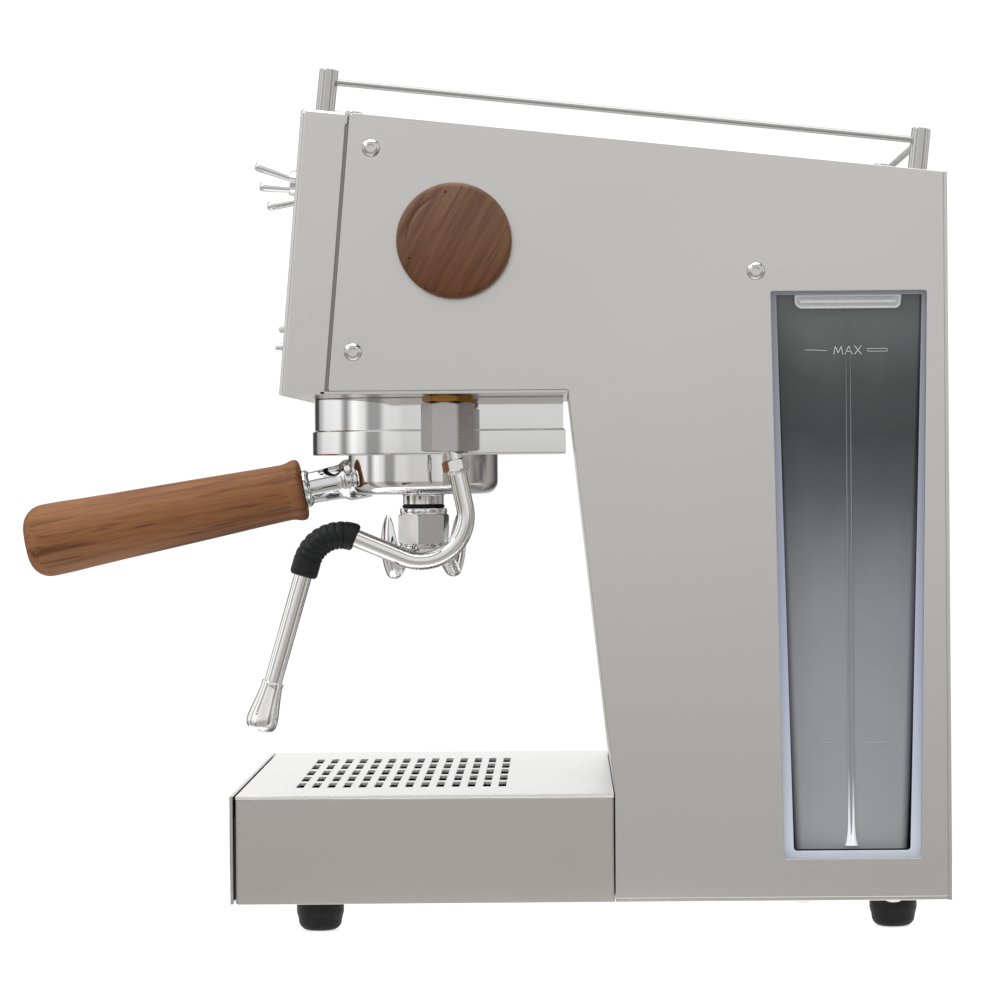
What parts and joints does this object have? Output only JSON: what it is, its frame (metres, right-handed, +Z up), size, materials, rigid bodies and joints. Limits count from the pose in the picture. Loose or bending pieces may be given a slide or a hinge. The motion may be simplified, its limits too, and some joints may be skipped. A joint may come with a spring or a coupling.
{
  "type": "espresso machine",
  "caption": "Folded steel espresso machine with a sloping top, wooden-handled portafilter, ball-jointed steam wand, cup rail, drip drawer and side-window water tank.",
  "frame": {"origin": "middle of the whole machine's outline on the counter, portafilter handle and steam knob included", "axes": "+Z up, -Y towards the user, +X to the user's right, which is the side with the steam knob and the tank's window"},
  "size_m": [0.2846, 0.4249, 0.3819],
  "materials": {
    "side_panel_right": "fine satin",
    "side_panel_left": "fine satin",
    "front_panel": "fine satin",
    "top_cover": "fine satin",
    "head_floor": "fine satin",
    "inner_frame": "fine satin",
    "spine_wall": "fine satin",
    "back_panel": "fine satin",
    "base_plate": "fine satin",
    "tray_housing": "fine satin",
    "feet": "matt",
    "panel_screws": "fine satin",
    "base_screws": "fine satin",
    "rail_posts": "fine satin",
    "rail_rods": "polished",
    "drip_grille": "fine satin",
    "drip_drawer": "fine satin",
    "drawer_ends": "fine satin",
    "drawer_front": "fine satin",
    "group_cover": "polished",
    "group_head": "bare",
    "group_gasket": "matt",
    "shower_screen": "fine satin",
    "shower_screw": "fine satin",
    "portafilter_body": "polished",
    "filter_basket": "fine satin",
    "portafilter_neck": "polished",
    "portafilter_handle": "oiled",
    "spout_seal": "matt",
    "double_spout": "polished",
    "wand_gland": "bare",
    "wand_nut": "fine satin",
    "wand_seat": "matt",
    "wand_tube": "polished",
    "wand_grip": "matt",
    "wand_tip": "fine satin",
    "steam_valve": "bare",
    "steam_pipe": "bare",
    "knob_spindle": "bare",
    "steam_knob": "oiled",
    "toggle_bushings": "polished",
    "toggle_switches": "matt",
    "toggle_lever_right": "polished",
    "toggle_lever_middle": "polished",
    "toggle_lever_left": "polished",
    "push_button": "polished",
    "button_housing": "polished",
    "status_lamp": "glossy",
    "gauge_case": "glossy",
    "gauge_needle": "painted",
    "gauge_glass": "clear moulded",
    "water_tank": "clear moulded",
    "tank_grip": "glossy",
    "tank_cradle": "matt",
    "tank_lid": "fine satin",
    "pump": "matt",
    "water_hoses": "matt",
    "boiler": "bare",
    "control_board": "matt",
    "mains_inlet": "matt"
  },
  "bodies": {
    "machine": {"side_panel_right": "side_panel_right", "side_panel_left": "side_panel_left", "front_panel": "front_panel", "top_cover": "top_cover", "head_floor": "head_floor", "inner_frame": "inner_frame", "spine_wall": "spine_wall", "back_panel": "back_panel", "base_plate": "base_plate", "tray_housing": "tray_housing", "feet": "feet", "panel_screws": "panel_screws", "base_screws": "base_screws", "rail_posts": "rail_posts", "rail_rods": "rail_rods", "group_cover": "group_cover", "group_head": "group_head", "group_gasket": "group_gasket", "shower_screen": "shower_screen", "shower_screw": "shower_screw", "wand_gland": "wand_gland", "wand_nut": "wand_nut", "steam_valve": "steam_valve", "steam_pipe": "steam_pipe", "toggle_bushings": "toggle_bushings", "toggle_switches": "toggle_switches", "button_housing": "button_housing", "status_lamp": "status_lamp", "gauge_case": "gauge_case", "gauge_glass": "gauge_glass", "water_tank": "water_tank", "tank_grip": "tank_grip", "tank_cradle": "tank_cradle", "pump": "pump", "water_hoses": "water_hoses", "boiler": "boiler", "control_board": "control_board", "mains_inlet": "mains_inlet"},
    "toggle_right": {"toggle_lever_right": "toggle_lever_right"},
    "toggle_middle": {"toggle_lever_middle": "toggle_lever_middle"},
    "toggle_left": {"toggle_lever_left": "toggle_lever_left"},
    "button": {"push_button": "push_button"},
    "needle": {"gauge_needle": "gauge_needle"},
    "knob": {"knob_spindle": "knob_spindle", "steam_knob": "steam_knob"},
    "portafilter": {"portafilter_body": "portafilter_body", "filter_basket": "filter_basket", "portafilter_neck": "portafilter_neck", "portafilter_handle": "portafilter_handle", "spout_seal": "spout_seal", "double_spout": "double_spout"},
    "wand_socket": {"wand_seat": "wand_seat"},
    "wand": {"wand_tube": "wand_tube", "wand_grip": "wand_grip", "wand_tip": "wand_tip"},
    "drawer": {"drip_drawer": "drip_drawer", "drawer_ends": "drawer_ends", "drawer_front": "drawer_front"},
    "grille": {"drip_grille": "drip_grille"},
    "lid": {"tank_lid": "tank_lid"}
  },
  "joints": [
    {"name": "toggle_right_tilt", "type": "hinge", "parent": "machine", "child": "toggle_right", "pos_m": [0.03995, -0.07512, 0.335], "axis": [1, 0, 0], "range_deg": [0, 30]},
    {"name": "toggle_middle_tilt", "type": "hinge", "parent": "machine", "child": "toggle_middle", "pos_m": [-0.00505, -0.07512, 0.335], "axis": [1, 0, 0], "range_deg": [-15, 15]},
    {"name": "toggle_left_tilt", "type": "hinge", "parent": "machine", "child": "toggle_left", "pos_m": [-0.05005, -0.07512, 0.335], "axis": [1, 0, 0], "range_deg": [-30, 0]},
    {"name": "button_press", "type": "slide", "parent": "machine", "child": "button", "axis": [0, 0.9964, -0.0845], "range_m": [0, 0.002], "stiffness_N_per_m": 250},
    {"name": "needle_turn", "type": "hinge", "parent": "machine", "child": "needle", "pos_m": [-0.00505, -0.0791, 0.288], "axis": [0, 0.9964, -0.0845], "range_deg": [0, 270]},
    {"name": "knob_turn", "type": "hinge", "parent": "machine", "child": "knob", "pos_m": [0.12995, -0.00605, 0.3034], "axis": [1, 0, 0], "range_deg": [0, 270]},
    {"name": "portafilter_lock", "type": "hinge", "parent": "machine", "child": "portafilter", "pos_m": [-0.00505, -0.02495, 0.2], "axis": [0, 0, 1], "range_deg": [-45, 0]},
    {"name": "wand_swivel", "type": "hinge", "parent": "machine", "child": "wand_socket", "pos_m": [0.09995, -0.01035, 0.222], "axis": [0, 0, 1], "range_deg": [-30, 75]},
    {"name": "wand_tilt", "type": "hinge", "parent": "wand_socket", "child": "wand", "pos_m": [0.09995, -0.01035, 0.222], "axis": [1, 0, 0], "range_deg": [-16, 5]},
    {"name": "drawer_slide", "type": "slide", "parent": "machine", "child": "drawer", "axis": [0, -1, 0], "range_m": [0, 0.14]},
    {"name": "grille_lift", "type": "slide", "parent": "machine", "child": "grille", "axis": [0, -0.108, 0.9942], "range_m": [0, 0.012]},
    {"name": "lid_hinge", "type": "hinge", "parent": "machine", "child": "lid", "pos_m": [0.06995, 0.19335, 0.33406], "axis": [-1, 0, 0], "range_deg": [0, 75]}
  ]
}
